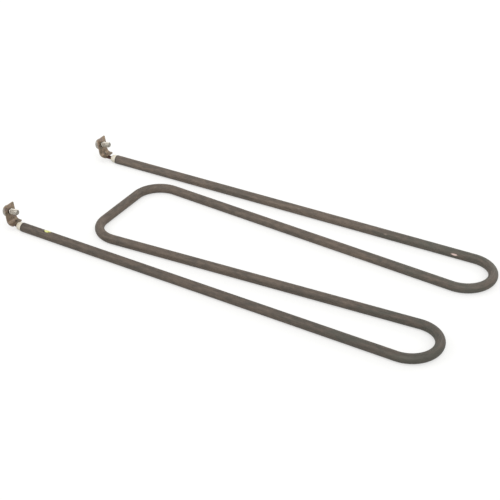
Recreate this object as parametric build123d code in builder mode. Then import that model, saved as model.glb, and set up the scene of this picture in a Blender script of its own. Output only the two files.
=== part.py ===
from build123d import *
from math import cos, radians, sin
import os

# Tubular heating element: one mineral-insulated tube bent flat into two hairpins joined by a
# cross-piece, with a screw terminal on each end. Millimetres, +Z up. The tube lies on Z = 0, its
# hairpins point to +X and its terminals to -X, and the tube is symmetrical about Y = 0.

# --- Sheath and its bends ---
tube_d = 8.0  # outside diameter
sheath_wall = 0.7
bend_radius = 23.0  # centreline radius; one former makes all four bends
cross_run = 49.3  # straight part of the cross-piece
inner_run = 272.4  # straight part of each inner leg
outer_run = 350.3  # straight part of each outer leg, up to its mouth
inner_slope = 3.66  # degrees that the inner legs close in towards the hairpins
outer_splay = 1.11  # degrees that the outer legs open towards the hairpins
mouth_round = 0.25

# --- Inside the sheath ---
packing_gap = 0.05  # on radius, between one piece and the next
coil_d = 3.8  # outside of the resistance-wire helix
pin_d = 3.2
cold_length = 60.0  # length of each pin inside the sheath

# --- Ceramic bead in each mouth ---
bead_spigot = 6.0  # length inside the sheath
bead_nose = 5.0  # length outside the sheath
bead_collar_d = 7.4
bead_collar = 2.2  # parallel part of the nose, before its taper
bead_tip_d = 5.8
bead_edge = 0.4

# --- Terminal lug, a bent strip welded on the pin ---
lug_width = 11.6
lug_thickness = 1.2
lug_foot = 2.5  # straight part of the foot
lug_leg = 13.1  # straight part of the leg
lug_bend = 3.1  # inside radius
lug_corner = 0.4
screw_from_top = 6.3  # the screw's axis, below the leg's top edge
weld_flat = 0.25  # depth of the flat that the foot is welded on
pin_lap = 4.6  # length of pin under the lug

# --- M5 x 10 pan head screw and its tooth lock washer ---
screw_d = 5.0
screw_length = 10.0
screw_point = 0.6
neck_length = 2.2  # thread run-out under the head
neck_d = 4.5
head_d = 10.0
head_height = 3.8
head_round = 2.2
recess_depth = 2.1
recess_span = 5.2
recess_wing = 1.1
hole_gap = 0.15  # on radius, in the lug and the washer
washer_d = 10.0
washer_thickness = 0.7
washer_teeth = 12
tooth_depth = 1.1
tooth_gap = 0.9

# --- The two ends: mouth to foot, and degrees that the leg leans out from upright ---
ends = {
    "front": {"side": -1, "standoff": 5.5, "lean": 8.0},
    "back": {"side": 1, "standoff": 8.4, "lean": 10.0},
}

up = Vector(0, 0, 1)
tube_r = tube_d / 2
bore_r = tube_r - sheath_wall
pin_r = pin_d / 2
foot_underside = pin_r - weld_flat


def centreline(leg_run, cross_x=0.0):
    """Path from one outer leg's end to the other's, and each end's point and outward heading."""
    leg_ends = {}
    with BuildLine() as path:
        cross = Line((cross_x, -cross_run / 2, tube_r), (cross_x, cross_run / 2, tube_r))
        for name, start in (("front", cross @ 0), ("back", cross @ 1)):
            side = ends[name]["side"]
            corner = JernArc(start, (0, side, 0), bend_radius, -side * (90 + inner_slope))
            inner_leg = Line(corner @ 1, corner @ 1 + (corner % 1) * inner_run)
            hairpin_turn = side * (180 + inner_slope + outer_splay)
            hairpin = JernArc(inner_leg @ 1, corner % 1, bend_radius, hairpin_turn)
            outer_leg = Line(hairpin @ 1, hairpin @ 1 + (hairpin % 1) * leg_run)
            leg_ends[name] = (outer_leg @ 1, hairpin % 1)
    return path.wire(), leg_ends


def screw_seat(end):
    """Where the screw's axis crosses the leg's outer face: (outward, up) from the mouth's centre."""
    lean = radians(end["lean"])
    outer_bend = lug_bend + lug_thickness
    along_leg = lug_leg - screw_from_top
    outward = end["standoff"] + lug_foot + outer_bend * cos(lean) + along_leg * sin(lean)
    height = foot_underside + outer_bend * (1 - sin(lean)) + along_leg * cos(lean)
    return outward, height


def head_reach(end):
    """How far out from the mouth the screw's rounded head comes."""
    lean = radians(end["lean"])
    to_round = washer_thickness + head_height - head_round
    return screw_seat(end)[0] + to_round * cos(lean) + (head_d / 2 - head_round) * sin(lean) + head_round


# The cross-piece is placed so that the origin is under the middle of the whole element.
bare_path, bare_ends = centreline(outer_run)
hairpin_x = bare_path.bounding_box().max.X + tube_r
head_x = min((bare_ends[name][0] + bare_ends[name][1] * head_reach(end)).X for name, end in ends.items())
cross_x = -(hairpin_x + head_x) / 2

os.makedirs("parts", exist_ok=True)

# Sheath: one drawn tube, bent flat.
sheath_path, mouths = centreline(outer_run, cross_x)
with BuildPart() as sheath:
    with BuildSketch(Plane(origin=sheath_path @ 0, z_dir=sheath_path % 0)):
        Circle(tube_r)
        Circle(bore_r, mode=Mode.SUBTRACT)
    sweep(path=sheath_path)
    mouth_faces = sheath.faces().filter_by(GeomType.PLANE)
    fillet([face.outer_wire().edges() for face in mouth_faces], mouth_round)
sheath.part.label = "sheath"
export_step(sheath.part, "parts/sheath.step")

# Resistance coil: the space that its wire helix fills, between the two pins.
coil_path, coil_ends = centreline(outer_run - cold_length, cross_x)
with BuildPart() as resistance_coil:
    with BuildSketch(Plane(origin=coil_path @ 0, z_dir=coil_path % 0)):
        Circle(coil_d / 2)
    sweep(path=coil_path)
resistance_coil.part.label = "resistance_coil"
export_step(resistance_coil.part, "parts/resistance_coil.step")

# Magnesia fill: packed powder round the coil and the pins, from bead to bead.
fill_path, fill_ends = centreline(outer_run - bead_spigot, cross_x)
with BuildPart() as magnesia_fill:
    with BuildSketch(Plane(origin=fill_path @ 0, z_dir=fill_path % 0)):
        Circle(bore_r - packing_gap)
        Circle(pin_r + packing_gap, mode=Mode.SUBTRACT)
    sweep(path=fill_path)
    with BuildSketch(Plane(origin=coil_path @ 0, z_dir=coil_path % 0)):
        Circle(coil_d / 2 + packing_gap)
    sweep(path=coil_path, mode=Mode.SUBTRACT)
magnesia_fill.part.label = "magnesia_fill"
export_step(magnesia_fill.part, "parts/magnesia_fill.step")

for name, end in ends.items():
    mouth, outward = mouths[name]
    across = outward.cross(up)
    leg_side = Plane(origin=mouth, x_dir=outward, z_dir=across)  # X outward, Y up
    pin_end = end["standoff"] + pin_lap

    # Cold pin: a rod from the coil, out through the bead, with a flat where the lug is welded on.
    with BuildPart() as cold_pin:
        with BuildSketch(Plane(origin=mouth - outward * cold_length, z_dir=outward)):
            Circle(pin_r)
        extrude(amount=cold_length + pin_end)
        with BuildSketch(leg_side):
            with Locations((end["standoff"], foot_underside)):
                Rectangle(pin_lap, pin_d, align=(Align.MIN, Align.MIN))
        extrude(amount=pin_d, both=True, mode=Mode.SUBTRACT)
    cold_pin.part.label = f"cold_pin_{name}"
    export_step(cold_pin.part, f"parts/cold_pin_{name}.step")

    # Ceramic bead: a turned bush, its spigot in the sheath and its collar against the mouth.
    with BuildPart() as ceramic_bead:
        with BuildSketch(leg_side) as bead_half:
            bore = pin_r + packing_gap
            with BuildLine():
                Polyline(
                    (-bead_spigot, bore),
                    (-bead_spigot, bore_r - packing_gap),
                    (0, bore_r - packing_gap),
                    (0, bead_collar_d / 2),
                    (bead_collar, bead_collar_d / 2),
                    (bead_nose, bead_tip_d / 2),
                    (bead_nose, bore),
                    close=True,
                )
            make_face()
            nose_corners = bead_half.vertices().group_by(Axis.X)[-1]
            fillet(nose_corners.sort_by(Axis.Y)[-1], bead_edge)
        revolve(axis=Axis(mouth, outward))
    ceramic_bead.part.label = f"ceramic_bead_{name}"
    export_step(ceramic_bead.part, f"parts/ceramic_bead_{name}.step")

    # The screw's axis: square to the leg, from the seat on its outer face.
    seat_outward, seat_height = screw_seat(end)
    seat = mouth + outward * seat_outward + up * seat_height
    lean = radians(end["lean"])
    screw_out = outward * cos(lean) - up * sin(lean)
    leg_face = Plane(origin=seat, x_dir=across, z_dir=screw_out)

    # Terminal lug: a strip bent up from the pin, with a clearance hole for the screw.
    with BuildPart() as terminal_lug:
        with BuildSketch(leg_side):
            with BuildLine() as strip:
                foot_start = Vector(end["standoff"], foot_underside + lug_thickness / 2)
                foot = Line(foot_start, foot_start + Vector(lug_foot, 0))
                bend = JernArc(foot @ 1, foot % 1, lug_bend + lug_thickness / 2, 90 - end["lean"])
                Line(bend @ 1, bend @ 1 + (bend % 1) * lug_leg)
            trace(line_width=lug_thickness)
        extrude(amount=lug_width / 2, both=True)
        with Locations(leg_face.location):
            Hole(screw_d / 2 + hole_gap, depth=2 * lug_thickness)
        corners = terminal_lug.edges().filter_by(lambda edge: abs(edge.length - lug_thickness) < 1e-4)
        fillet(corners, lug_corner)
    terminal_lug.part.label = f"terminal_lug_{name}"
    export_step(terminal_lug.part, f"parts/terminal_lug_{name}.step")

    # Tooth lock washer, between the lug and the screw's head.
    with BuildPart() as lock_washer:
        with BuildSketch(leg_face):
            Circle(washer_d / 2)
            Circle(screw_d / 2 + hole_gap, mode=Mode.SUBTRACT)
            with PolarLocations(washer_d / 2, washer_teeth):
                Rectangle(2 * tooth_depth, tooth_gap, mode=Mode.SUBTRACT)
        extrude(amount=washer_thickness)
    lock_washer.part.label = f"lock_washer_{name}"
    export_step(lock_washer.part, f"parts/lock_washer_{name}.step")

    # Terminal screw: pan head outside, shank through the lug towards the element.
    under_head = seat + screw_out * washer_thickness
    with BuildPart() as terminal_screw:
        with BuildSketch(Plane(origin=under_head, x_dir=screw_out, z_dir=across)):
            with BuildLine():
                Polyline(
                    (head_height, 0),
                    (-screw_length, 0),
                    (-screw_length, screw_d / 2 - screw_point),
                    (-screw_length + screw_point, screw_d / 2),
                    (-neck_length, screw_d / 2),
                    (-neck_length, neck_d / 2),
                    (0, neck_d / 2),
                    (0, head_d / 2),
                    (head_height - head_round, head_d / 2),
                )
                crown = JernArc((head_height - head_round, head_d / 2), (1, 0), head_round, -90)
                Line(crown @ 1, (head_height, 0))
            make_face()
        revolve(axis=Axis(under_head, screw_out))
        with BuildSketch(Plane(origin=under_head + screw_out * head_height, x_dir=across, z_dir=screw_out)):
            Rectangle(recess_span, recess_wing)
            Rectangle(recess_wing, recess_span)
        extrude(amount=-recess_depth, mode=Mode.SUBTRACT)
    terminal_screw.part.label = f"terminal_screw_{name}"
    export_step(terminal_screw.part, f"parts/terminal_screw_{name}.step")
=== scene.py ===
from bisect import bisect
from math import asin, ceil, cos, pi, radians, sin, tan

import bmesh
import bpy
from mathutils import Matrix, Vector


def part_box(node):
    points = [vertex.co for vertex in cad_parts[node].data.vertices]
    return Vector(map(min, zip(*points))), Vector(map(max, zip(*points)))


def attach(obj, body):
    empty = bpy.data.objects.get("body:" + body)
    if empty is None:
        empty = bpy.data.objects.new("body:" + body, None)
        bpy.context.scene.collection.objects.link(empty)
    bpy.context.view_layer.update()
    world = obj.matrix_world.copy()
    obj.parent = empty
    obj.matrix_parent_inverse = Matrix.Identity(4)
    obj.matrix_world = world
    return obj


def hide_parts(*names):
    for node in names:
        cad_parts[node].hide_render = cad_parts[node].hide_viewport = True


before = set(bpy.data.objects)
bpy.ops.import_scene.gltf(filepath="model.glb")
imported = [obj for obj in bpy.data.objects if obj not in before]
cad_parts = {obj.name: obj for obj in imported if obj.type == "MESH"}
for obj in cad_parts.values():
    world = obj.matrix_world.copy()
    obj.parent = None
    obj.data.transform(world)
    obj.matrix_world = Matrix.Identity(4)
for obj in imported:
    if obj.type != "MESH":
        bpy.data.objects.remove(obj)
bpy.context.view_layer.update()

# --- Camera: a long lens, well above the element and to its front right ---
# The long lens keeps the legs nearly parallel. The element just fills the square view, corner to corner.
def direction(azimuth, elevation):
    """The direction to a place round the element: degrees to the right of its front, and above the floor."""
    turn, rise = radians(azimuth), radians(elevation)
    return Vector((sin(turn) * cos(rise), -cos(turn) * cos(rise), sin(rise)))


def facing(towards):
    """The rotation that points a camera or a lamp along a direction."""
    return towards.to_track_quat("-Z", "Y").to_euler()


aim = Vector((0.00655, -0.00422, 0.004))
view_distance = 1.1110
to_camera = direction(30.13, 32.35)
camera = bpy.data.objects.new("camera", bpy.data.cameras.new("camera"))
camera.data.lens = 97.0
camera.location = aim + view_distance * to_camera
camera.rotation_euler = facing(-to_camera)
bpy.context.scene.collection.objects.link(camera)
bpy.context.scene.camera = camera
bpy.context.scene.view_settings.view_transform = "Standard"


# --- Floor and world: a white paper sweep in a white room ---
# The floor is matt paper that takes the soft shadow. Camera and mirror rays see paper and room as plain
# white, while the room lights the element more gently than that.
def linear(colour):
    """An sRGB hex colour, such as "#6b6459", as the linear colour that a socket takes."""
    shares = [int(colour[place : place + 2], 16) / 255 for place in (1, 3, 5)]
    light = [share / 12.92 if share <= 0.04045 else ((share + 0.055) / 1.055) ** 2.4 for share in shares]
    return (*light, 1.0)


def add_node(tree, kind, inputs=None, stops=(), **settings):
    """Adds a node with its settings.

    Each input takes a value, or the output that it links to, which is a node's first output if only the
    node is given. The stops of a colour ramp are its first one, its last one and then those between.
    """
    node = tree.nodes.new(kind)
    for name, value in settings.items():
        setattr(node, name, value)
    for socket, value in (inputs or {}).items():
        if isinstance(value, bpy.types.Node):
            value = value.outputs[0]
        if isinstance(value, bpy.types.NodeSocket):
            tree.links.new(value, node.inputs[socket])
        else:
            node.inputs[socket].default_value = value
    for count, (place, colour) in enumerate(stops):
        ramp = node.color_ramp.elements
        stop = ramp[count] if count < 2 else ramp.new(place)
        stop.position = place
        stop.color = linear(colour)
    return node


def new_material(name):
    """An empty node material, and its tree."""
    material = bpy.data.materials.new(name)
    material.use_nodes = True
    material.node_tree.nodes.clear()
    return material, material.node_tree


def seen_directly(tree):
    """A value of 1 for rays from the camera, a mirror or glass, and 0 for rays that light the element."""
    path = add_node(tree, "ShaderNodeLightPath").outputs
    either = add_node(tree, "ShaderNodeMath", {0: path["Is Camera Ray"], 1: path["Is Glossy Ray"]})
    return add_node(tree, "ShaderNodeMath", {0: either, 1: path["Is Transmission Ray"]}, use_clamp=True)


room_light = 0.55
world = bpy.data.worlds.new("white room")
world.use_nodes = True
bpy.context.scene.world = world
tree = world.node_tree
tree.nodes.clear()
strength = add_node(
    tree, "ShaderNodeMapRange", {"Value": seen_directly(tree), "To Min": room_light, "To Max": 1.0}
)
room = add_node(tree, "ShaderNodeBackground", {"Color": linear("#ffffff"), "Strength": strength})
add_node(tree, "ShaderNodeOutputWorld", {"Surface": room})

# The paper is drawn greyer than it is, so that it throws less light up under the tube. The glow, which only
# the camera and mirrors see, brings it back to white.
paper_colour = "#b9b9b7"
paper_glow = 0.545
paper, tree = new_material("matt white paper")
sheet_of_paper = add_node(tree, "ShaderNodeBsdfDiffuse", {"Color": linear(paper_colour)})
shining = add_node(tree, "ShaderNodeMath", {0: seen_directly(tree), 1: paper_glow}, operation="MULTIPLY")
glow = add_node(tree, "ShaderNodeEmission", {"Color": linear("#ffffff"), "Strength": shining})
glowing_paper = add_node(tree, "ShaderNodeAddShader", {0: sheet_of_paper, 1: glow})
add_node(tree, "ShaderNodeOutputMaterial", {"Surface": glowing_paper})

floor_half = 4.0
floor_corners = [Vector((x, y, 0.0)) * floor_half for x, y in ((-1, -1), (1, -1), (1, 1), (-1, 1))]
floor_mesh = bpy.data.meshes.new("floor")
floor_mesh.from_pydata(floor_corners, [], [(0, 1, 2, 3)])
floor_mesh.materials.append(paper)
floor = bpy.data.objects.new("floor", floor_mesh)
bpy.context.scene.collection.objects.link(floor)


# --- Lamps: one broad light from above the camera, and two long soft boxes ---
# The broad light is even over the whole floor and brightest on the side that the camera sees. The soft
# boxes stand to the left and behind, where they light the screws' heads and the back of the tube.
broad_light = bpy.data.objects.new("broad light", bpy.data.lights.new("broad light", "SUN"))
broad_light.data.energy = 1.35
broad_light.data.angle = radians(70)
broad_light.rotation_euler = facing(-direction(38, 50))
bpy.context.scene.collection.objects.link(broad_light)

soft_boxes = {
    "left soft box": {"place": Vector((-0.9, -0.5, 0.8)), "power": 3.0, "width": 0.9, "height": 0.5},
    "back soft box": {"place": Vector((0.3, 1.1, 0.7)), "power": 3.0, "width": 1.2, "height": 0.4},
}
for name, box in soft_boxes.items():
    lamp = bpy.data.objects.new(name, bpy.data.lights.new(name, "AREA"))
    lamp.data.shape = "RECTANGLE"
    lamp.data.size = box["width"]
    lamp.data.size_y = box["height"]
    lamp.data.energy = box["power"]
    lamp.location = box["place"]
    lamp.rotation_euler = facing(-box["place"])
    bpy.context.scene.collection.objects.link(lamp)


# --- Sheath: one drawn tube of nickel-chrome heat-resisting steel, 8 mm across ---
# It is filled, rolled tight round the filling and then bent flat, all four bends round one former. Its
# first heating in the factory gave it a thin matt oxide, a warm grey that drifts to olive and to brown.
mm = 0.001
bend_radius = 23 * mm
cross_run = 49.3 * mm  # straight part of the cross-piece
inner_run = 272.4 * mm  # straight part of each inner leg
outer_run = 350.3 * mm  # straight part of each outer leg, up to its mouth
inner_slope = radians(3.66)  # the inner legs close in towards the hairpins
outer_splay = radians(1.11)  # the outer legs open towards the hairpins
sheath_wall = 0.7 * mm
mouth_round = 0.25 * mm
sheath_sides = 64
straight_step = 5 * mm
bend_step = radians(3)
tube_low, tube_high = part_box("sheath")
tube_r = (tube_high.z - tube_low.z) / 2
up = Vector((0, 0, 1))


def ahead(heading):
    """The level direction at a heading, which is an angle from +X towards +Y."""
    return Vector((cos(heading), sin(heading), 0))


def tube_stations():
    """The centreline from the front mouth to the back one: run from the middle, place and heading."""
    run, place, heading = 0.0, Vector((0, 0, tube_r)), pi / 2
    half = [(run, place, heading)]
    moves = [
        (cross_run / 2, 0),
        (None, -(pi / 2 + inner_slope)),
        (inner_run, 0),
        (None, pi + inner_slope + outer_splay),
        (outer_run, 0),
    ]
    for length, turn in moves:
        steps = ceil(abs(turn) / bend_step) if turn else ceil(length / straight_step)
        stride = 2 * bend_radius * sin(abs(turn) / steps / 2) if turn else length / steps
        for _ in range(steps):
            heading += turn / steps / 2
            place = place + stride * ahead(heading)
            heading += turn / steps / 2
            run += bend_radius * abs(turn) / steps if turn else stride
            half.append((run, place, heading))
    hairpin_x = max(place.x for run, place, heading in half) + tube_r
    shift = Vector((tube_high.x - hairpin_x, 0, 0))
    half = [(run, place + shift, heading) for run, place, heading in half]
    mirror = [(-run, Vector((p.x, -p.y, p.z)), pi - heading) for run, p, heading in reversed(half[1:])]
    return mirror + half


def ring(centre, axis, radius, sides, upwards=up):
    """Points round an axis, the first of them upwards."""
    side = axis.cross(upwards)
    turns = [2 * pi * count / sides for count in range(sides)]
    return [centre + radius * (cos(turn) * upwards + sin(turn) * side) for turn in turns]


def skin(rings, closed=False, caps=(True, True)):
    """The points of a row of rings, and the faces that join them. An open row can have a cap at each end."""
    sides = len(rings[0])
    points = [point for one in rings for point in one]
    faces = []
    for row in range(len(rings) if closed else len(rings) - 1):
        here, there = row * sides, (row + 1) % len(rings) * sides
        for count in range(sides):
            beside = (count + 1) % sides
            faces.append((here + count, here + beside, there + beside, there + count))
    if not closed and caps[0]:
        faces.append(tuple(range(sides)))
    if not closed and caps[1]:
        faces.append(tuple(range(len(points) - sides, len(points))))
    return points, faces


def smooth(mesh, crease=32):
    """Smooth shading, but for edges that turn more than crease degrees."""
    mesh.shade_smooth()
    mesh.set_sharp_from_angle(angle=radians(crease))


def make_piece(name, points, faces):
    """A new mesh piece, with no loose or doubled points and its faces turned outwards."""
    form = bmesh.new()
    corners = [form.verts.new(point) for point in points]
    for face in faces:
        form.faces.new([corners[count] for count in face])
    bmesh.ops.remove_doubles(form, verts=form.verts, dist=0.001 * mm)
    loose = [corner for corner in form.verts if not corner.link_faces]
    bmesh.ops.delete(form, geom=loose, context="VERTS")
    bmesh.ops.recalc_face_normals(form, faces=form.faces)
    mesh = bpy.data.meshes.new(name)
    form.to_mesh(mesh)
    form.free()
    smooth(mesh)
    piece = bpy.data.objects.new(name, mesh)
    bpy.context.scene.collection.objects.link(piece)
    return piece


stations = tube_stations()
half_length = stations[-1][0]
mouths = {  # each mouth's centre, and the direction out of it
    "front": (stations[0][1], -ahead(stations[0][2])),
    "back": (stations[-1][1], ahead(stations[-1][2])),
}


def sheath_rings():
    """The outer skin's rings, then the bore's back again: a station's count, a shift along and a radius."""
    last = len(stations) - 1
    lip_steps = 4
    turns = [pi / 2 * step / lip_steps for step in range(lip_steps + 1)]
    lip = [(mouth_round * (1 - sin(turn)), mouth_round * (1 - cos(turn))) for turn in turns]
    bore_r = tube_r - sheath_wall
    rows = [(count, 0.0, tube_r) for count in range(1, last)]
    rows += [(last, -along, tube_r - down) for along, down in lip]
    rows += [(last, -down, bore_r + along) for along, down in lip]
    rows += [(count, 0.0, bore_r) for count in range(last - 1, 0, -2)]
    rows += [(0, down, bore_r + along) for along, down in reversed(lip)]
    rows += [(0, along, tube_r - down) for along, down in reversed(lip)]
    return rows


rings = []
straight = []  # each point's place on the tube as it was before bending: along it, up and to its left
for count, shift, radius in sheath_rings():
    run, place, heading = stations[count]
    rings.append(ring(place + shift * ahead(heading), ahead(heading), radius, sheath_sides))
    for side in range(sheath_sides):
        turn = 2 * pi * side / sheath_sides
        straight.append(Vector((run + shift, radius * cos(turn), -radius * sin(turn))))
sheath = make_piece("tube_sheath", *skin(rings, closed=True))
before_bending = sheath.data.attributes.new("before_bending", "FLOAT_VECTOR", "POINT")
for count, place in enumerate(straight):
    before_bending.data[count].vector = place

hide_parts("sheath")
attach(sheath, "root")


def stretched(tree, coordinates, sizes):
    """Coordinates divided by the size of the pattern along each axis."""
    inverse = [1 / size for size in sizes]
    return add_node(tree, "ShaderNodeVectorMath", {0: coordinates, 1: inverse}, operation="MULTIPLY")


# The oxide is matt and only half metallic to the eye: a broad dull sheen along the tube, and no reflections.
oxide, tree = new_material("matt heat oxide on nickel-chrome steel")
on_tube = add_node(tree, "ShaderNodeAttribute", attribute_name="before_bending").outputs["Vector"]
run_along = add_node(tree, "ShaderNodeSeparateXYZ", {"Vector": on_tube}).outputs["X"]

# It is a warm brown-grey on the straight lengths and turns to a plain grey round the hairpins.
hairpin_run = half_length - outer_run - bend_radius * (pi + inner_slope + outer_splay) / 2
from_middle = add_node(tree, "ShaderNodeMath", {0: run_along}, operation="ABSOLUTE")
past_hairpin = add_node(tree, "ShaderNodeMath", {0: from_middle, 1: hairpin_run}, operation="SUBTRACT")
from_hairpin = add_node(tree, "ShaderNodeMath", {0: past_hairpin}, operation="ABSOLUTE")
heat = add_node(
    tree,
    "ShaderNodeMapRange",
    {"Value": from_hairpin, "From Min": 30 * mm, "From Max": 170 * mm, "To Min": 0.12, "To Max": 0.8},
)
# Its hue also drifts over a few centimetres.
drift = add_node(
    tree,
    "ShaderNodeTexNoise",
    {"Vector": stretched(tree, on_tube, (45 * mm, 9 * mm, 9 * mm)), "Scale": 1.0, "Detail": 3.0},
)
drift_tint = add_node(
    tree,
    "ShaderNodeMapRange",
    {"Value": drift, "From Min": 0.3, "From Max": 0.7, "To Min": -0.4, "To Max": 0.4},
)
drifting = add_node(tree, "ShaderNodeMath", {0: heat, 1: drift_tint})
# It is patchy over 2 to 6 mm too, in hue and in shade.
patches = add_node(
    tree,
    "ShaderNodeTexNoise",
    {"Vector": stretched(tree, on_tube, (6 * mm, 2.2 * mm, 2.2 * mm)), "Scale": 1.0, "Detail": 2.0},
)
patch_tint = add_node(
    tree,
    "ShaderNodeMapRange",
    {"Value": patches, "From Min": 0.3, "From Max": 0.7, "To Min": -0.3, "To Max": 0.3},
)
patch_shade = add_node(
    tree,
    "ShaderNodeMapRange",
    {"Value": patches, "From Min": 0.3, "From Max": 0.7, "To Min": 0.88, "To Max": 1.12},
)
warmth = add_node(tree, "ShaderNodeMath", {0: drifting, 1: patch_tint})
hue = add_node(
    tree,
    "ShaderNodeValToRGB",
    {"Fac": warmth},
    stops=((0.0, "#55534b"), (1.0, "#655a50"), (0.5, "#5b534b")),
)
# Drawing leaves fine lengthwise lines, under 0.1 mm wide in fact and drawn 0.6 mm wide so that they show.
lines = add_node(
    tree,
    "ShaderNodeTexNoise",
    {"Vector": stretched(tree, on_tube, (30 * mm, 0.6 * mm, 0.6 * mm)), "Scale": 1.0, "Detail": 2.0},
)
line_shade = add_node(
    tree,
    "ShaderNodeMapRange",
    {"Value": lines, "From Min": 0.3, "From Max": 0.7, "To Min": 0.88, "To Max": 1.12},
)
# The oxide's grain is about 0.05 mm, drawn 0.5 mm across so that it shows.
grain = add_node(
    tree,
    "ShaderNodeTexNoise",
    {"Vector": stretched(tree, on_tube, (0.8 * mm, 0.5 * mm, 0.5 * mm)), "Scale": 1.0, "Detail": 3.0},
)
grain_shade = add_node(
    tree,
    "ShaderNodeMapRange",
    {"Value": grain, "From Min": 0.3, "From Max": 0.7, "To Min": 0.93, "To Max": 1.07},
)
# The tube is drawn a little darker towards its front mouth than towards its back one.
leg_shade = add_node(
    tree,
    "ShaderNodeMapRange",
    {"Value": run_along, "From Min": -half_length, "From Max": half_length, "To Min": 0.87, "To Max": 1.17},
)
# The last millimetre or so of the tube at each mouth is drawn darker, as a dark ring.
dark_ring_begins = half_length - 1.6 * mm
dark_ring_deepest = half_length - 0.6 * mm
mouth_shade = add_node(
    tree,
    "ShaderNodeMapRange",
    {"Value": from_middle, "From Min": dark_ring_begins, "From Max": dark_ring_deepest, "To Min": 1.0, "To Max": 0.45},
)
shade = line_shade
for part in (grain_shade, patch_shade, leg_shade, mouth_shade):
    shade = add_node(tree, "ShaderNodeMath", {0: shade, 1: part}, operation="MULTIPLY")
skin_colour = add_node(tree, "ShaderNodeVectorMath", {0: hue, "Scale": shade}, operation="SCALE")

# Scuffs from handling bare the pale metal, and a dark spot lies beside the marking paint, near its end
# towards the front mouth. Each mark gives its run from the middle, its roll from the top, its half length and
# half width, and its colour.
marks = (
    (half_length - 333.8 * mm, radians(74), 2.7 * mm, 0.8 * mm, "#e3cbc2"),
    (half_length - 272 * mm, radians(60), 1.6 * mm, 0.7 * mm, "#7d7269"),
    (half_length - 190 * mm, radians(40), 1.4 * mm, 0.7 * mm, "#756b62"),
    (24.0 * mm - half_length, radians(-16), 1.3 * mm, 0.8 * mm, "#3a342e"),
)
mix_factor, mix_under, mix_over, mix_result = 0, 6, 7, 2  # a mix node's sockets for colours
for run, roll, half_mark, half_band, colour in marks:
    place = Vector((run, tube_r * cos(roll), tube_r * sin(roll)))
    from_mark = add_node(tree, "ShaderNodeVectorMath", {0: on_tube, 1: place}, operation="SUBTRACT")
    reach = stretched(tree, from_mark, (half_mark, half_band, half_band))
    distance = add_node(tree, "ShaderNodeVectorMath", {0: reach}, operation="LENGTH").outputs["Value"]
    ragged = add_node(tree, "ShaderNodeMath", {0: distance, 1: grain})
    cover = add_node(
        tree,
        "ShaderNodeMapRange",
        {"Value": ragged, "From Min": 1.1, "From Max": 1.7, "To Min": 1.0, "To Max": 0.0},
    )
    sockets = {mix_factor: cover, mix_under: skin_colour, mix_over: linear(colour)}
    skin_colour = add_node(tree, "ShaderNodeMix", sockets, data_type="RGBA").outputs[mix_result]
rough = add_node(
    tree,
    "ShaderNodeMapRange",
    {"Value": grain, "From Min": 0.3, "From Max": 0.7, "To Min": 0.55, "To Max": 0.68},
)
relief = add_node(tree, "ShaderNodeBump", {"Height": grain, "Strength": 0.25, "Distance": 0.03 * mm})
metal = add_node(
    tree,
    "ShaderNodeBsdfPrincipled",
    {"Base Color": skin_colour, "Metallic": 0.4, "Roughness": rough, "Normal": relief},
)
add_node(tree, "ShaderNodeOutputMaterial", {"Surface": metal})
sheath.data.materials.append(oxide)


# --- Resistance helix and magnesia: the sealed heart of the tube ---
# A drawn nickel-chrome wire is wound into a helix and held off the sheath by packed magnesia, a chalky
# white powder. The sheath and the beads shut both in.
wire_r = 0.25 * mm
helix_r = 1.9 * mm - wire_r  # so that the outside of the helix is 3.8 mm across
helix_pitch = 2.4 * mm  # the real turns lie closer, and there are many hundreds of them
turn_steps = 14
wire_sides = 5
cold_length = 60 * mm  # the pins reach this far into the sheath, and the helix begins there
station_runs = [run for run, place, heading in stations]


def helix_point(run):
    """A place on the helix, at that run along the tube."""
    count = min(bisect(station_runs, run), len(stations) - 1)
    run_before, place_before, heading_before = stations[count - 1]
    run_after, place_after, heading_after = stations[count]
    share = (run - run_before) / (run_after - run_before)
    heading = heading_before + share * (heading_after - heading_before)
    left = Vector((-sin(heading), cos(heading), 0))
    turn = 2 * pi * run / helix_pitch
    return place_before.lerp(place_after, share) + helix_r * (cos(turn) * up + sin(turn) * left)


helix_run = half_length - cold_length
helix_steps = int(2 * helix_run / helix_pitch * turn_steps)
helix_line = [helix_point(-helix_run + 2 * helix_run * step / helix_steps) for step in range(helix_steps + 1)]
helix_rings = []
for before, here, after in zip(helix_line, helix_line[1:], helix_line[2:]):
    along = (after - before).normalized()
    above = along.cross(up).cross(along).normalized()
    helix_rings.append(ring(here, along, wire_r, wire_sides, above))
helix = make_piece("resistance_helix", *skin(helix_rings))
smooth(helix.data, crease=180)
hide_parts("resistance_coil")
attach(helix, "root")

# Drawn wire is bright and smooth, with heat stains of a few millimetres that come and go along it.
wire, tree = new_material("drawn nickel-chrome wire")
in_place = add_node(tree, "ShaderNodeTexCoord").outputs["Object"]
stain = add_node(
    tree,
    "ShaderNodeTexNoise",
    {"Vector": stretched(tree, in_place, (6 * mm,) * 3), "Scale": 1.0, "Detail": 2.0},
)
bright = add_node(tree, "ShaderNodeValToRGB", {"Fac": stain}, stops=((0.35, "#8a857c"), (0.65, "#b4b0a8")))
metal = add_node(tree, "ShaderNodeBsdfPrincipled", {"Base Color": bright, "Metallic": 1.0, "Roughness": 0.32})
add_node(tree, "ShaderNodeOutputMaterial", {"Surface": metal})
helix.data.materials.append(wire)

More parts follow.
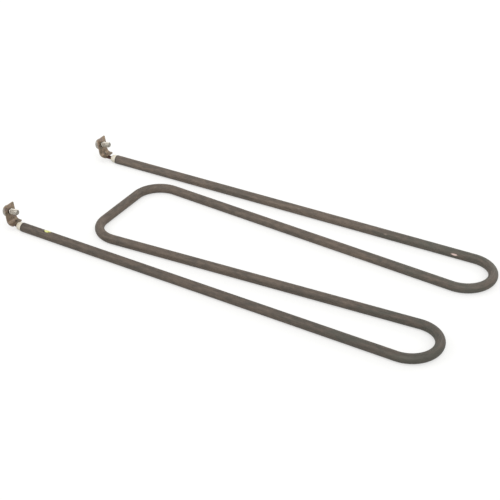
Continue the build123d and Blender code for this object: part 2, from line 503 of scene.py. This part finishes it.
# Packed powder is dead matt and chalky. Its grains are about 0.2 mm, drawn 0.6 mm across so that they show.
powder, tree = new_material("packed magnesia powder")
in_place = add_node(tree, "ShaderNodeTexCoord").outputs["Object"]
grains = add_node(
    tree,
    "ShaderNodeTexNoise",
    {"Vector": stretched(tree, in_place, (0.6 * mm,) * 3), "Scale": 1.0, "Detail": 4.0},
)
chalk = add_node(tree, "ShaderNodeValToRGB", {"Fac": grains}, stops=((0.3, "#d9d6cd"), (0.7, "#edebe4")))
relief = add_node(tree, "ShaderNodeBump", {"Height": grains, "Strength": 0.5, "Distance": 0.1 * mm})
matt = add_node(tree, "ShaderNodeBsdfPrincipled", {"Base Color": chalk, "Roughness": 0.95, "Normal": relief})
add_node(tree, "ShaderNodeOutputMaterial", {"Surface": matt})
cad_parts["magnesia_fill"].material_slots[0].material = powder


# --- Cold pins: a 3.2 mm steel rod out of each mouth ---
# The rod is welded to the helix inside the sheath and to the terminal lug outside. It is plain drawn steel,
# and the welds' heat has browned its bare end.
pin_r = 1.6 * mm

# The heat's scale is a dark red-brown, blotched over 2 mm, that still glints a little.
pin_steel, tree = new_material("heat-browned steel rod")
in_place = add_node(tree, "ShaderNodeTexCoord").outputs["Object"]
scale_marks = add_node(
    tree,
    "ShaderNodeTexNoise",
    {"Vector": stretched(tree, in_place, (2 * mm,) * 3), "Scale": 1.0, "Detail": 4.0},
)
brown = add_node(
    tree,
    "ShaderNodeValToRGB",
    {"Fac": scale_marks},
    stops=((0.3, "#3f302d"), (0.7, "#6e5750"), (0.5, "#553f3b")),
)
metal = add_node(tree, "ShaderNodeBsdfPrincipled", {"Base Color": brown, "Metallic": 1.0, "Roughness": 0.5})
add_node(tree, "ShaderNodeOutputMaterial", {"Surface": metal})
for name in mouths:
    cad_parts[f"cold_pin_{name}"].material_slots[0].material = pin_steel


# --- Ceramic beads: a turned steatite bush in each mouth ---
# Pressed and fired unglazed, cream and faintly grainy. The spigot fits inside the sheath, the collar stands
# against its mouth and the nose tapers to the pin.
bead_sides = 64
bead_gap = 0.05 * mm  # round the pin, and between the spigot and the sheath
bead_bore = pin_r + bead_gap
spigot_r = tube_r - sheath_wall - bead_gap
collar_r = 3.7 * mm
tip_r = 2.9 * mm
spigot_length = 6.0 * mm
collar_length = 2.2 * mm
nose_length = 5.0 * mm
bead_corners = (  # distance out from the mouth, radius and rounding
    (-spigot_length, bead_bore, 0.0),
    (-spigot_length, spigot_r, 0.2 * mm),
    (0.0, spigot_r, 0.0),
    (0.0, collar_r, 0.2 * mm),
    (collar_length, collar_r, 1.2 * mm),
    (nose_length, tip_r, 0.45 * mm),
    (nose_length, bead_bore, 0.15 * mm),
)


def rounded(corners, steps=5):
    """An outline through (x, y, radius) corners, where each corner with a radius becomes an arc."""
    outline = []
    for count, (x, y, radius) in enumerate(corners):
        here = Vector((x, y))
        if not radius:
            outline.append(here)
            continue
        before = (Vector(corners[count - 1][:2]) - here).normalized()
        after = (Vector(corners[(count + 1) % len(corners)][:2]) - here).normalized()
        half_angle = before.angle(after) / 2
        middle = here + (before + after).normalized() * radius / sin(half_angle)
        start = here + before * radius / tan(half_angle) - middle
        stop = here + after * radius / tan(half_angle) - middle
        spokes = [start.lerp(stop, step / steps).normalized() for step in range(steps + 1)]
        outline += [middle + spoke * radius for spoke in spokes]
    return outline


def turned(outline, seat, axis, sides, upwards=up):
    """The rings of a turned piece, whose outline is (distance along the axis, radius)."""
    return [ring(seat + along * axis, axis, radius, sides, upwards) for along, radius in outline]


# Unglazed steatite is nearly matt. Its fired grain is under 0.1 mm, drawn 0.5 mm across so that it shows.
steatite, tree = new_material("unglazed fired steatite")
in_place = add_node(tree, "ShaderNodeTexCoord").outputs["Object"]
fired_grain = add_node(
    tree,
    "ShaderNodeTexNoise",
    {"Vector": stretched(tree, in_place, (0.5 * mm,) * 3), "Scale": 1.0, "Detail": 4.0},
)
# Handling and heat have yellowed it in patches of a few millimetres.
yellowing = add_node(
    tree,
    "ShaderNodeTexNoise",
    {"Vector": stretched(tree, in_place, (3 * mm,) * 3), "Scale": 1.0, "Detail": 2.0},
)
cream = add_node(
    tree,
    "ShaderNodeValToRGB",
    {"Fac": yellowing},
    stops=((0.3, "#e6e1d5"), (0.7, "#dbd0b6"), (0.5, "#e0d9c8")),
)
grain_shade = add_node(
    tree,
    "ShaderNodeMapRange",
    {"Value": fired_grain, "From Min": 0.3, "From Max": 0.7, "To Min": 0.94, "To Max": 1.04},
)
grained = add_node(tree, "ShaderNodeVectorMath", {0: cream, "Scale": grain_shade}, operation="SCALE")
relief = add_node(tree, "ShaderNodeBump", {"Height": fired_grain, "Strength": 0.3, "Distance": 0.05 * mm})
ceramic = add_node(
    tree,
    "ShaderNodeBsdfPrincipled",
    {"Base Color": grained, "Roughness": 0.6, "Normal": relief, "IOR": 1.55},
)
add_node(tree, "ShaderNodeOutputMaterial", {"Surface": ceramic})

for name, (mouth, outward) in mouths.items():
    bead_rings = turned(rounded(bead_corners), mouth, outward, bead_sides)
    bead = make_piece(f"steatite_bead_{name}", *skin(bead_rings, closed=True))
    bead.data.materials.append(steatite)
    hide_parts(f"ceramic_bead_{name}")
    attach(bead, "root")


# --- Terminal lugs: a strip of nickel-plated steel, bent up from each pin ---
# Stamped from 1.2 mm strip with a clearance hole for the screw, bent once and welded to the pin. The weld
# and use have tinted the plating in browns, olive and a trace of purple.
lug_width = 11.6 * mm
lug_thickness = 1.2 * mm
lug_foot = 2.5 * mm  # straight part of the foot
lug_leg = 13.1 * mm  # straight part of the leg
lug_bend = 3.1 * mm  # inside radius
lug_corner = 0.4 * mm
screw_from_top = 6.3 * mm
screw_r = 2.5 * mm
hole_gap = 0.15 * mm
weld_flat = 0.25 * mm  # depth of the pin's flat, which the foot is welded on
broken_edge = 0.15 * mm
ends = {  # from the mouth to the foot, and how far the leg leans out from upright
    "front": {"standoff": 5.5 * mm, "lean": radians(8)},
    "back": {"standoff": 8.4 * mm, "lean": radians(10)},
}
bend_line = lug_bend + lug_thickness / 2  # the bend's radius at the middle of the strip
foot_rise = pin_r - weld_flat + lug_thickness / 2
weld_and_shade_spots = {  # where each weld pressed its lug: along and across the strip, the dark spot's radius and its shade
    "front": (3.2 * mm, 1.6 * mm, 1.5 * mm, 0.35),
    "back": (5.6 * mm, -0.8 * mm, 2.4 * mm, 0.6),
}
dimple_r = 0.8 * mm
dimple_depth = 0.25 * mm
drill_sides = 64
electrode_sides = 32


def strip_side(name):
    """The direction across the strip."""
    return mouths[name][1].cross(up)


def bend_turn(name):
    """The angle that the strip is bent through."""
    return pi / 2 - ends[name]["lean"]


def strip_length(name):
    """The length of the strip's middle layer, from the foot's end to the leg's."""
    return lug_foot + bend_line * bend_turn(name) + lug_leg


def on_strip(name, along, across, inwards):
    """A place on the bent strip: along it from the foot's end, across, and inwards from its middle layer."""
    mouth, outward = mouths[name]
    bend_run = bend_line * bend_turn(name)
    turned_by = max(0.0, min(along - lug_foot, bend_run)) / bend_line
    on_foot = min(along, lug_foot)
    on_leg = max(0.0, along - lug_foot - bend_run)
    out = ends[name]["standoff"] + on_foot + (bend_line - inwards) * sin(turned_by)
    out += on_leg * cos(bend_turn(name))
    rise = foot_rise + bend_line - (bend_line - inwards) * cos(turned_by) + on_leg * sin(bend_turn(name))
    return mouth + out * outward + rise * up + across * strip_side(name)


def strip_rows(name):
    """How far along the strip each row of its mesh lies, with the half width there."""
    length = strip_length(name)
    bend_run = length - lug_foot - lug_leg
    corner_steps = 4
    bend_steps = 16
    turns = [pi / 2 * step / corner_steps for step in range(corner_steps + 1)]
    corner = [(lug_corner * (1 - cos(turn)), lug_width / 2 - lug_corner * (1 - sin(turn))) for turn in turns]
    bends = [(lug_foot + bend_run * step / bend_steps, lug_width / 2) for step in range(bend_steps + 1)]
    return corner + bends + [(length - inset, half) for inset, half in reversed(corner)]


def screw_axes(name):
    """The screw's place on the leg's outer face, its outward axis and the leg's own upward direction."""
    length = strip_length(name)
    seat = on_strip(name, length - screw_from_top, 0.0, -lug_thickness / 2)
    leg_up = (on_strip(name, length, 0.0, 0.0) - on_strip(name, length - lug_leg, 0.0, 0.0)).normalized()
    return seat, leg_up.cross(strip_side(name)).normalized(), leg_up


def electrode(name):
    """The rings of the round-nosed electrode that pressed the weld's dimple into a lug's foot."""
    along, across = weld_and_shade_spots[name][:2]
    surface = on_strip(name, along, across, lug_thickness / 2)
    out = (surface - on_strip(name, along, across, 0.0)).normalized()
    nose_r = (dimple_r**2 + dimple_depth**2) / (2 * dimple_depth)
    turns = [radians(turn) for turn in range(5, 180, 10)]
    nose = [(-nose_r * cos(turn), nose_r * sin(turn)) for turn in turns]
    return turned(nose, surface + (nose_r - dimple_depth) * out, out, electrode_sides, strip_side(name))


def settle(piece):
    """Fixes the piece's modifiers into its mesh."""
    bpy.context.view_layer.update()
    shape = bpy.data.meshes.new_from_object(piece.evaluated_get(bpy.context.evaluated_depsgraph_get()))
    form = bmesh.new()
    form.from_mesh(shape)
    bmesh.ops.dissolve_degenerate(form, edges=form.edges, dist=0.002 * mm)
    form.to_mesh(shape)
    form.free()
    piece.modifiers.clear()
    piece.data = shape
    smooth(shape)


def cut(piece, cutter):
    """Takes the cutter's form out of the piece."""
    knife = piece.modifiers.new("cut", "BOOLEAN")
    knife.object = cutter
    knife.solver = "EXACT"
    settle(piece)
    bpy.data.objects.remove(cutter)


def break_edges(piece, width):
    """Rounds the sharp edges, and keeps the flat faces flat in shade."""
    bevel = piece.modifiers.new("broken edges", "BEVEL")
    bevel.width = width
    bevel.segments = 2
    bevel.limit_method = "ANGLE"
    bevel.angle_limit = radians(40)
    settle(piece)
    piece.modifiers.new("flat faces", "WEIGHTED_NORMAL").keep_sharp = True


# Heat tint is a thin clear oxide over the plating, so the metal shows through as a brown satin sheen. The
# tint changes over 2 to 5 mm, and a mottle of 0.9 mm lies over it.
tinted, tree = new_material("heat-tinted nickel-plated steel strip")
in_place = add_node(tree, "ShaderNodeTexCoord").outputs["Object"]
tint = add_node(
    tree,
    "ShaderNodeTexNoise",
    {"Vector": stretched(tree, in_place, (4 * mm,) * 3), "Scale": 1.0, "Detail": 3.0, "Distortion": 0.6},
)
tints = add_node(
    tree,
    "ShaderNodeValToRGB",
    {"Fac": tint},
    stops=((0.25, "#665d53"), (0.75, "#776a66"), (0.4, "#766b5b"), (0.52, "#8d7a67"), (0.62, "#80736a")),
)
mottle = add_node(
    tree,
    "ShaderNodeTexNoise",
    {"Vector": stretched(tree, in_place, (0.9 * mm,) * 3), "Scale": 1.0, "Detail": 4.0},
)
mottle_shade = add_node(
    tree,
    "ShaderNodeMapRange",
    {"Value": mottle, "From Min": 0.3, "From Max": 0.7, "To Min": 0.78, "To Max": 1.22},
)
# The tint fades towards the top of the leg, away from the weld's heat.
height = add_node(tree, "ShaderNodeSeparateXYZ", {"Vector": in_place}).outputs["Z"]
fade = add_node(
    tree,
    "ShaderNodeMapRange",
    {"Value": height, "From Min": 13 * mm, "From Max": 20 * mm, "To Min": 1.0, "To Max": 1.4},
)
lug_shade = add_node(tree, "ShaderNodeMath", {0: mottle_shade, 1: fade}, operation="MULTIPLY")
# A dark spot lies on the inside of each lug's bend, darkest over its middle third: partly the weld's burn
# and partly painted shade in the hollow of the bend.
for name, (along, across, radius, depth) in weld_and_shade_spots.items():
    place = on_strip(name, along, across, lug_thickness / 2)
    from_weld = add_node(tree, "ShaderNodeVectorMath", {0: in_place, 1: place}, operation="SUBTRACT")
    distance = add_node(tree, "ShaderNodeVectorMath", {0: from_weld}, operation="LENGTH").outputs["Value"]
    weld_burn_and_shade = add_node(
        tree,
        "ShaderNodeMapRange",
        {"Value": distance, "From Min": radius / 3, "From Max": radius, "To Min": depth, "To Max": 1.0},
    )
    lug_shade = add_node(tree, "ShaderNodeMath", {0: lug_shade, 1: weld_burn_and_shade}, operation="MULTIPLY")
mottled = add_node(tree, "ShaderNodeVectorMath", {0: tints, "Scale": lug_shade}, operation="SCALE")
rough = add_node(
    tree,
    "ShaderNodeMapRange",
    {"Value": mottle, "From Min": 0.3, "From Max": 0.7, "To Min": 0.35, "To Max": 0.6},
)
relief = add_node(tree, "ShaderNodeBump", {"Height": mottle, "Strength": 0.3, "Distance": 0.05 * mm})
metal = add_node(
    tree,
    "ShaderNodeBsdfPrincipled",
    {"Base Color": mottled, "Metallic": 0.8, "Roughness": rough, "Normal": relief},
)
add_node(tree, "ShaderNodeOutputMaterial", {"Surface": metal})

for name in ends:
    layers = ((1, -1), (1, 1), (-1, 1), (-1, -1))  # the strip's four long edges: side and face
    rows = [
        [on_strip(name, along, side * half, face * lug_thickness / 2) for side, face in layers]
        for along, half in strip_rows(name)
    ]
    lug = make_piece(f"stamped_lug_{name}", *skin(rows))
    seat, screw_out, leg_up = screw_axes(name)
    drill = [(-2 * lug_thickness, screw_r + hole_gap), (lug_thickness, screw_r + hole_gap)]
    cut(lug, make_piece("drill", *skin(turned(drill, seat, screw_out, drill_sides, leg_up))))
    if name == "front":
        cut(lug, make_piece("electrode", *skin(electrode(name))))
    break_edges(lug, broken_edge)
    lug.data.materials.append(tinted)
    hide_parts(f"terminal_lug_{name}")
    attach(lug, "root")


# --- Lock washers: a ring of spring steel with twelve twisted teeth under each screw's head ---
# Stamped, hardened and oxidised dark. Each tooth is twisted a few degrees, so that its corners bite both
# the lug and the head.
washer_thickness = 0.7 * mm  # over the twisted teeth
washer_sheet = 0.5 * mm
washer_edge = 0.06 * mm
washer_teeth = 12
washer_bore = screw_r + hole_gap
ring_middle = 3.3 * mm
tooth_root = 3.9 * mm
tooth_middle = 4.4 * mm
washer_r = 5.0 * mm
tooth_gap = 0.9 * mm
tooth_twist = radians(7)
washer_rows = (washer_bore, ring_middle, tooth_root, tooth_middle, washer_r)


def washer_layer(name):
    """The points and faces of the washer's middle layer: a ring, and teeth that twist as they reach out."""
    seat, screw_out, leg_up = screw_axes(name)
    middle = seat + washer_thickness / 2 * screw_out
    side = screw_out.cross(leg_up)
    pitch = 2 * pi / washer_teeth
    shares = (-1.0, -0.5, 0.0, 0.5, 1.0)  # of a tooth's half width, before one point in the middle of the gap
    columns = len(shares) + 1
    width = washer_teeth * columns
    points, faces = [], []
    for radius in washer_rows:
        reach = pitch / 2 - asin(tooth_gap / 2 / max(radius, tooth_root))
        twist = tooth_twist if radius > tooth_root else 0.0
        for tooth in range(washer_teeth):
            for turn in [share * reach for share in shares] + [pitch / 2]:
                spoke = cos(tooth * pitch + turn) * leg_up + sin(tooth * pitch + turn) * side
                points.append(middle + radius * spoke + radius * turn * sin(twist) * screw_out)
    for row, radius in enumerate(washer_rows[:-1]):
        for count in range(width):
            in_gap = count % columns >= columns - 2
            if radius >= tooth_root and in_gap:
                continue
            here, beside = row * width + count, row * width + (count + 1) % width
            faces.append((here, beside, beside + width, here + width))
    return points, faces


# Oxidised spring steel is a dark brown metal, rubbed paler in specks of about 1 mm.
spring_steel, tree = new_material("dark oxidised spring steel")
in_place = add_node(tree, "ShaderNodeTexCoord").outputs["Object"]
rubbing = add_node(
    tree,
    "ShaderNodeTexNoise",
    {"Vector": stretched(tree, in_place, (0.8 * mm,) * 3), "Scale": 1.0, "Detail": 3.0},
)
dark = add_node(tree, "ShaderNodeValToRGB", {"Fac": rubbing}, stops=((0.3, "#3a322b"), (0.7, "#645648")))
metal = add_node(tree, "ShaderNodeBsdfPrincipled", {"Base Color": dark, "Metallic": 1.0, "Roughness": 0.45})
add_node(tree, "ShaderNodeOutputMaterial", {"Surface": metal})

for name in ends:
    washer = make_piece(f"toothed_washer_{name}", *washer_layer(name))
    sheet = washer.modifiers.new("sheet", "SOLIDIFY")
    sheet.thickness = washer_sheet
    sheet.offset = 0.0
    settle(washer)
    break_edges(washer, washer_edge)
    washer.data.materials.append(spring_steel)
    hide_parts(f"lock_washer_{name}")
    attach(washer, "root")


# --- Terminal screws: M5 x 10 pan heads, cross-recessed, through washer and lug ---
# Cold-headed and thread-rolled steel, bright zinc plated. The thread runs out just under the head, and the
# free end takes a ring terminal and a nut.
screw_length = 10.0 * mm
screw_point = 0.6 * mm
neck_length = 2.2 * mm
neck_r = 2.25 * mm
head_r = 5.0 * mm
head_height = 3.8 * mm
head_round = 2.2 * mm
head_edge = 0.2 * mm
head_middle = 0.5 * mm  # the crown inside this radius is one flat face, over the recess
recess_depth = 2.1 * mm
recess_reach = 2.6 * mm
recess_wing = 0.55 * mm  # half of a wing's width
recess_floor = 0.6  # the recess narrows to this share of its mouth
screw_sides = 48
thread_pitch = 0.8 * mm
thread_root = 2.07 * mm
thread_crest = 2.48 * mm
run_out = 0.8 * mm
thread_form = (  # share of the pitch, and radius
    (0.0, thread_root),
    (0.25, thread_root),
    (0.5625, thread_crest),
    (0.6875, thread_crest),
    (1.0, thread_root),
)
head_corners = (  # distance out from under the head, radius and rounding
    (-neck_length, neck_r, 0.0),
    (0.0, neck_r, 0.0),
    (0.0, head_r, head_edge),
    (head_height, head_r, head_round),
    (head_height, head_middle, 0.0),
)


def thread(seat, axis, upwards):
    """The skin of a right-hand thread, square at the tip and faded out at the neck."""
    side = axis.cross(upwards)
    steps = (ceil((screw_length - neck_length) / thread_pitch) + 2) * screw_sides
    points, faces = [], []
    for step in range(steps + 1):
        turn = 2 * pi * (step % screw_sides) / screw_sides
        spoke = cos(turn) * upwards + sin(turn) * side
        for share, radius in thread_form:
            along = thread_pitch * (step / screw_sides - 1 + share) - screw_length
            along = max(-screw_length, min(-neck_length, along))
            fade = min(1.0, (-neck_length - along) / run_out)
            radius = neck_r + (radius - neck_r) * fade
            radius = min(radius, screw_r - screw_point + screw_length + along)
            points.append(seat + along * axis + radius * spoke)
    width = len(thread_form)
    for step in range(steps):
        for count in range(width - 1):
            here = step * width + count
            faces.append((here, here + 1, here + width + 1, here + width))
    return points, faces


def joined(*skins):
    """Several skins' points and faces as one."""
    points, faces = [], []
    for more_points, more_faces in skins:
        faces += [tuple(count + len(points) for count in face) for face in more_faces]
        points += more_points
    return points, faces


def recess_punch(top, axis, upwards):
    """The rings of a cross-shaped punch that narrows towards its tip."""
    side = axis.cross(upwards)
    quarter = ((recess_reach, recess_wing), (recess_wing, recess_wing), (recess_wing, recess_reach))
    cross = [(x, y) for x, y in quarter] + [(-y, x) for x, y in quarter]
    cross += [(-x, -y) for x, y in cross]
    above = 0.5 * mm  # how far the punch stands clear of the crown
    slope = (1 - recess_floor) / recess_depth
    rings = []
    for height, share in ((above, 1 + slope * above), (-recess_depth, recess_floor)):
        rings.append([top + height * axis + share * (x * upwards + y * side) for x, y in cross])
    return rings


# Bright zinc is a smooth silver with a slightly warm cast. The passivated plate clouds over 1 to 2 mm.
zinc, tree = new_material("bright zinc plate on steel")
in_place = add_node(tree, "ShaderNodeTexCoord").outputs["Object"]
clouding = add_node(
    tree,
    "ShaderNodeTexNoise",
    {"Vector": stretched(tree, in_place, (1.5 * mm,) * 3), "Scale": 1.0, "Detail": 3.0},
)
plate = add_node(tree, "ShaderNodeValToRGB", {"Fac": clouding}, stops=((0.3, "#bab4a9"), (0.7, "#cdc8be")))
# The plate is drawn darker within 2.32 mm of the axis: painted shade in the thread's root, on the cut end
# and in the recess, where the plating is also thin and dull.
off_axis = add_node(tree, "ShaderNodeAttribute", attribute_name="from_axis").outputs["Fac"]
thin_plate_and_shade = add_node(
    tree,
    "ShaderNodeMapRange",
    {"Value": off_axis, "From Min": 2.05 * mm, "From Max": 2.32 * mm, "To Min": 0.5, "To Max": 1.0},
)
# The head is drawn darker towards its rim, a painted shade that dims its reflection there.
painted_rim_shade = add_node(
    tree,
    "ShaderNodeMapRange",
    {"Value": off_axis, "From Min": 2.8 * mm, "From Max": head_r, "To Min": 1.0, "To Max": 0.6},
)
shade_and_wear = add_node(tree, "ShaderNodeMath", {0: thin_plate_and_shade, 1: painted_rim_shade}, operation="MULTIPLY")
shaded_and_worn_plate = add_node(tree, "ShaderNodeVectorMath", {0: plate, "Scale": shade_and_wear}, operation="SCALE")
rough = add_node(
    tree,
    "ShaderNodeMapRange",
    {"Value": clouding, "From Min": 0.3, "From Max": 0.7, "To Min": 0.18, "To Max": 0.34},
)
metal = add_node(tree, "ShaderNodeBsdfPrincipled", {"Base Color": shaded_and_worn_plate, "Metallic": 1.0, "Roughness": rough})
add_node(tree, "ShaderNodeOutputMaterial", {"Surface": metal})

for name in ends:
    seat, screw_out, leg_up = screw_axes(name)
    under_head = seat + washer_thickness * screw_out
    tip = ring(under_head - screw_length * screw_out, screw_out, screw_r - screw_point, screw_sides, leg_up)
    head = turned(rounded(head_corners), under_head, screw_out, screw_sides, leg_up)
    screw = make_piece(
        f"threaded_screw_{name}",
        *joined(
            (tip, [tuple(range(screw_sides))]),
            thread(under_head, screw_out, leg_up),
            skin(head, caps=(False, True)),
        ),
    )
    punch = recess_punch(under_head + head_height * screw_out, screw_out, leg_up)
    cut(screw, make_piece("punch", *skin(punch)))
    from_axis = screw.data.attributes.new("from_axis", "FLOAT", "POINT")
    for count, corner in enumerate(screw.data.vertices):
        from_axis.data[count].value = (corner.co - seat).cross(screw_out).length
    screw.data.materials.append(zinc)
    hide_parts(f"terminal_screw_{name}")
    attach(screw, "root")


# --- Paint mark: a dab of yellow-green paint on top of the front leg ---
# An inspector touches a brush to each tested element. The dab is thick in the middle, thins to one end and
# has an uneven edge.
dab_from_mouth = 26.2 * mm
dab_roll = radians(14)  # from the top of the tube, away from the camera
dab_half_length = 3.3 * mm
dab_half_width = 2.1 * mm
dab_thickness = 0.16 * mm
dab_sunk = 0.04 * mm  # its underside lies this far inside the sheath's skin
dab_spokes = 48
dab_rows = 8
dab_edge_waves = (  # waves round the edge, where they start, and their share of its reach
    (3, 0.7, 0.09),
    (5, 2.0, 0.06),
    (9, 0.0, 0.04),
)
dab_lean = 0.25  # how much thicker it is at the end away from the mouth


def dab_rings():
    """Rings from the middle of the dab's underside, out round its edge and back in over its top."""
    mouth, outward = mouths["front"]
    side = outward.cross(up)
    rows = [(row / dab_rows, "underside") for row in range(1, dab_rows + 1)]
    rows += [(row / dab_rows, "top") for row in range(dab_rows - 1, 0, -1)]
    rings = []
    for share, layer in rows:
        spokes = []
        for spoke in range(dab_spokes):
            turn = 2 * pi * spoke / dab_spokes
            edge = 1 + sum(size * sin(waves * turn + start) for waves, start, size in dab_edge_waves)
            along = dab_from_mouth + share * edge * dab_half_length * cos(turn)
            roll = dab_roll + share * edge * dab_half_width * sin(turn) / tube_r
            swell = (1 - share**2) ** 0.5 * (1.0 + dab_lean * cos(turn) * share) * dab_thickness
            rise = tube_r + (swell - dab_sunk * share if layer == "top" else -dab_sunk)
            spokes.append(mouth - along * outward + rise * (cos(roll) * up + sin(roll) * side))
        rings.append(spokes)
    return rings


# Brushed marking paint is satin, and streaked paler where it is thin, over 1 to 2 mm.
paint, tree = new_material("yellow-green marking paint")
in_place = add_node(tree, "ShaderNodeTexCoord").outputs["Object"]
brushing = add_node(
    tree,
    "ShaderNodeTexNoise",
    {"Vector": stretched(tree, in_place, (1.5 * mm,) * 3), "Scale": 1.0, "Detail": 2.0},
)
paint_colour = add_node(
    tree,
    "ShaderNodeValToRGB",
    {"Fac": brushing},
    stops=((0.3, "#c0c35a"), (0.7, "#eef0c6"), (0.5, "#dee182")),
)
satin = add_node(tree, "ShaderNodeBsdfPrincipled", {"Base Color": paint_colour, "Roughness": 0.45})
add_node(tree, "ShaderNodeOutputMaterial", {"Surface": satin})
dab = make_piece("paint_dab", *skin(dab_rings()))
dab.data.materials.append(paint)
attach(dab, "root")
